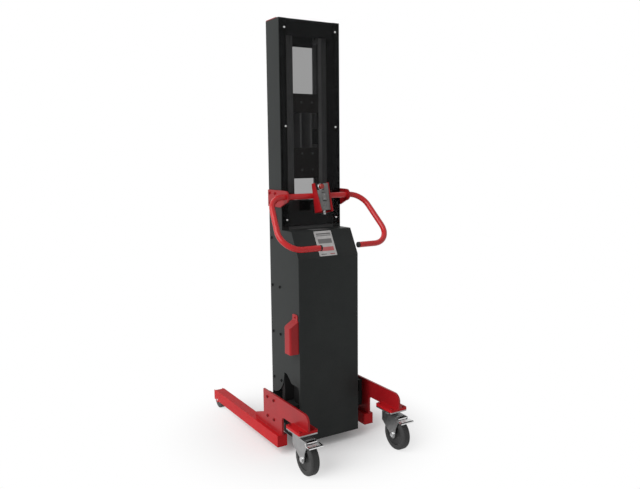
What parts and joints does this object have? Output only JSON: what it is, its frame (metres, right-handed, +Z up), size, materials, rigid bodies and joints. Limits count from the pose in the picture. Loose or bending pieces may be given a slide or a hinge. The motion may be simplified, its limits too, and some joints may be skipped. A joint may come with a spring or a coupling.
{
  "type": "mini stacker",
  "caption": "Narrow battery stacker: folded mast with a belt-lifted carriage and load plate, rear cabinet, looped handle, straddle legs on rollers and braked swivel casters.",
  "frame": {"origin": "on the floor, at the middle of the overall box", "axes": "+Z up, +Y forward towards the load, +X to the operator's right"},
  "size_m": [0.4904, 0.8914, 1.666],
  "materials": {
    "black_coat": "fine textured powder coat",
    "red_coat": "semi-gloss powder coat",
    "carriage_coat": "grey powder coat",
    "rail_steel": "phosphated steel, oiled",
    "zinc": "bright zinc plate",
    "chrome": "chrome plate",
    "tyre": "solid grey-black rubber",
    "nylon": "cast nylon",
    "smoked_guard": "smoked clear sheet",
    "black_plastic": "moulded",
    "grey_plastic": "moulded",
    "stop_red": "moulded",
    "bright_steel": "zinc-plated fastener",
    "dark_steel": "blackened fastener",
    "belt": "polyurethane belt",
    "bare_plate": "satin plate",
    "motor_paint": "cast and painted",
    "battery_case": "moulded"
  },
  "bodies": {
    "chassis": {"left_upright": "black_coat", "right_upright": "black_coat", "guide_rails": "rail_steel", "rail_brackets": "black_coat", "mast_head": "black_coat", "top_cap": "red_coat", "mast_back_plate": "black_coat", "limit_switch_box": "black_plastic", "rear_guard": "smoked_guard", "base_tray": "black_coat", "rear_cabinet": "black_coat", "label_plate": "bare_plate", "socket_hood": "red_coat", "charging_socket": "black_plastic", "chassis_arms": "black_coat", "side_plates": "red_coat", "caster_flanges": "red_coat", "left_leg": "red_coat", "right_leg": "red_coat", "load_roller_axles": "bright_steel", "caster_top_plates": "zinc", "handle_tube": "red_coat", "grip_caps": "black_plastic", "handle_brackets": "red_coat", "control_bracket": "red_coat", "control_box": "black_plastic", "cable_gland": "zinc", "lift_belt": "belt", "idler_bracket": "zinc", "idler_shaft": "bright_steel", "gearmotor": "motor_paint", "batteries": "battery_case", "motor_controller": "black_plastic", "panel_screws": "bright_steel", "frame_bolts": "dark_steel"},
    "carriage": {"carriage_plate": "carriage_coat", "carriage_cross_plates": "black_coat", "carriage_bolts": "bright_steel", "carriage_roller_pins": "bright_steel", "belt_clamp": "zinc"},
    "lower_left_guide_roller": {"lower_left_guide_roller": "nylon"},
    "lower_right_guide_roller": {"lower_right_guide_roller": "nylon"},
    "upper_left_guide_roller": {"upper_left_guide_roller": "nylon"},
    "upper_right_guide_roller": {"upper_right_guide_roller": "nylon"},
    "idler_pulley": {"idler_pulley": "zinc"},
    "drive_pulley": {"drive_pulley": "zinc"},
    "left_caster": {"left_caster_fork": "zinc", "left_caster_axle": "bright_steel"},
    "left_caster_wheel": {"left_caster_wheel": "tyre"},
    "left_brake_pedal": {"left_brake_pedal": "chrome"},
    "left_load_roller": {"left_load_roller": "nylon"},
    "right_caster": {"right_caster_fork": "zinc", "right_caster_axle": "bright_steel"},
    "right_caster_wheel": {"right_caster_wheel": "tyre"},
    "right_brake_pedal": {"right_brake_pedal": "chrome"},
    "right_load_roller": {"right_load_roller": "nylon"},
    "emergency_stop": {"emergency_stop": "stop_red"},
    "lift_rocker": {"lift_rocker": "grey_plastic"},
    "key_switch": {"key_switch": "bright_steel"}
  },
  "joints": [
    {"name": "lift", "type": "slide", "parent": "chassis", "child": "carriage", "axis": [0, 0, 1], "range_m": [-0.92, 0.17]},
    {"name": "lower_left_guide_roller_spin", "type": "hinge", "parent": "carriage", "child": "lower_left_guide_roller", "pos_m": [-0.076, -0.02675, 1.11], "axis": [1, 0, 0], "range_deg": [-2061, 389]},
    {"name": "lower_right_guide_roller_spin", "type": "hinge", "parent": "carriage", "child": "lower_right_guide_roller", "pos_m": [0.076, -0.02675, 1.11], "axis": [1, 0, 0], "range_deg": [-2061, 389]},
    {"name": "upper_left_guide_roller_spin", "type": "hinge", "parent": "carriage", "child": "upper_left_guide_roller", "pos_m": [-0.076, -0.02675, 1.335], "axis": [1, 0, 0], "range_deg": [-389, 2061]},
    {"name": "upper_right_guide_roller_spin", "type": "hinge", "parent": "carriage", "child": "upper_right_guide_roller", "pos_m": [0.076, -0.02675, 1.335], "axis": [1, 0, 0], "range_deg": [-389, 2061]},
    {"name": "idler_pulley_spin", "type": "hinge", "parent": "chassis", "child": "idler_pulley", "pos_m": [0.049, -0.05575, 1.6], "axis": [1, 0, 0], "range_deg": [-2852, 535]},
    {"name": "drive_pulley_spin", "type": "hinge", "parent": "chassis", "child": "drive_pulley", "pos_m": [0.049, -0.05575, 0.085], "axis": [1, 0, 0], "range_deg": [-2852, 535]},
    {"name": "left_caster_swivel", "type": "hinge", "parent": "chassis", "child": "left_caster", "pos_m": [-0.204, -0.34175, 0.15], "axis": [0, 0, 1], "continuous": true},
    {"name": "left_caster_wheel_roll", "type": "hinge", "parent": "left_caster", "child": "left_caster_wheel", "pos_m": [-0.204, -0.38175, 0.0625], "axis": [1, 0, 0], "continuous": true},
    {"name": "left_brake_pedal_press", "type": "hinge", "parent": "left_caster", "child": "left_brake_pedal", "pos_m": [-0.204, -0.40775, 0.128], "axis": [1, 0, 0], "range_deg": [0, 14]},
    {"name": "left_load_roller_roll", "type": "hinge", "parent": "chassis", "child": "left_load_roller", "pos_m": [-0.204, 0.40825, 0.0375], "axis": [1, 0, 0], "continuous": true},
    {"name": "right_caster_swivel", "type": "hinge", "parent": "chassis", "child": "right_caster", "pos_m": [0.204, -0.34175, 0.15], "axis": [0, 0, 1], "continuous": true},
    {"name": "right_caster_wheel_roll", "type": "hinge", "parent": "right_caster", "child": "right_caster_wheel", "pos_m": [0.204, -0.38175, 0.0625], "axis": [1, 0, 0], "continuous": true},
    {"name": "right_brake_pedal_press", "type": "hinge", "parent": "right_caster", "child": "right_brake_pedal", "pos_m": [0.204, -0.40775, 0.128], "axis": [1, 0, 0], "range_deg": [0, 14]},
    {"name": "right_load_roller_roll", "type": "hinge", "parent": "chassis", "child": "right_load_roller", "pos_m": [0.204, 0.40825, 0.0375], "axis": [1, 0, 0], "continuous": true},
    {"name": "emergency_stop_press", "type": "slide", "parent": "chassis", "child": "emergency_stop", "axis": [0, 0.9781, -0.2079], "range_m": [0, 0.004], "stiffness_N_per_m": 1500},
    {"name": "lift_rocker_tilt", "type": "hinge", "parent": "chassis", "child": "lift_rocker", "pos_m": [0.0085, -0.16478, 0.98948], "axis": [1, 0, 0], "range_deg": [-12, 12], "stiffness_Nm_per_rad": 0.6},
    {"name": "key_switch_turn", "type": "hinge", "parent": "chassis", "child": "key_switch", "pos_m": [0.0065, -0.17228, 0.96142], "axis": [0, -0.9781, 0.2079], "range_deg": [0, 90]}
  ],
  "couplings": [
    {"joint": "lower_left_guide_roller_spin", "follows": "lift", "rad_per_m": 38.91},
    {"joint": "lower_right_guide_roller_spin", "follows": "lift", "rad_per_m": 38.91},
    {"joint": "upper_left_guide_roller_spin", "follows": "lift", "rad_per_m": -38.91},
    {"joint": "upper_right_guide_roller_spin", "follows": "lift", "rad_per_m": -38.91},
    {"joint": "idler_pulley_spin", "follows": "lift", "rad_per_m": 53.908},
    {"joint": "drive_pulley_spin", "follows": "lift", "rad_per_m": 53.908}
  ]
}
